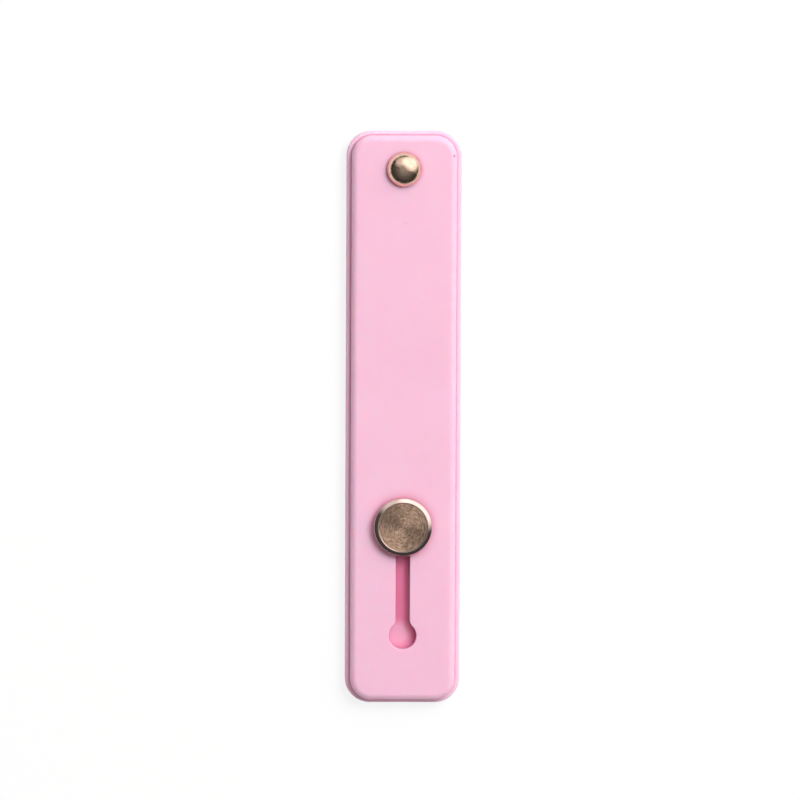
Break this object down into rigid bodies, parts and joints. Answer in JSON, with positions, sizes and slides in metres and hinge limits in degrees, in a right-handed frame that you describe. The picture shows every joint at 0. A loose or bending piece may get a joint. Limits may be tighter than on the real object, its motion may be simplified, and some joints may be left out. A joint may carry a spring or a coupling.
{
  "type": "phone finger strap",
  "caption": "Slim adhesive plate for the back of a phone with a soft strap riveted at one end and slotted over a round stud, so that the strap bows up into a finger loop.",
  "frame": {"origin": "centre of the adhesive face, which is the bottom of the part", "axes": "+Z out of the phone's back, +Y along the strap from its slotted end to its riveted end, +X across the strap"},
  "size_m": [0.025, 0.125, 0.0083],
  "materials": {
    "silicone": "matt pink silicone with a soft sheen",
    "plate_moulding": "satin pink moulding",
    "foam_tape": "white foam with a satin adhesive face",
    "turned_gold": "pale gold, turned face with fine circular lines, polished bevel",
    "polished_gold": "polished pale gold",
    "plated_steel": "nickel-plated steel"
  },
  "bodies": {
    "root": {"adhesive_pad": "foam_tape", "base_plate": "plate_moulding", "strap": "silicone", "stud": "turned_gold", "stud_screw": "plated_steel", "rivet_cap": "polished_gold", "rivet_post": "plated_steel", "rivet_foot": "plated_steel"}
  },
  "joints": []
}
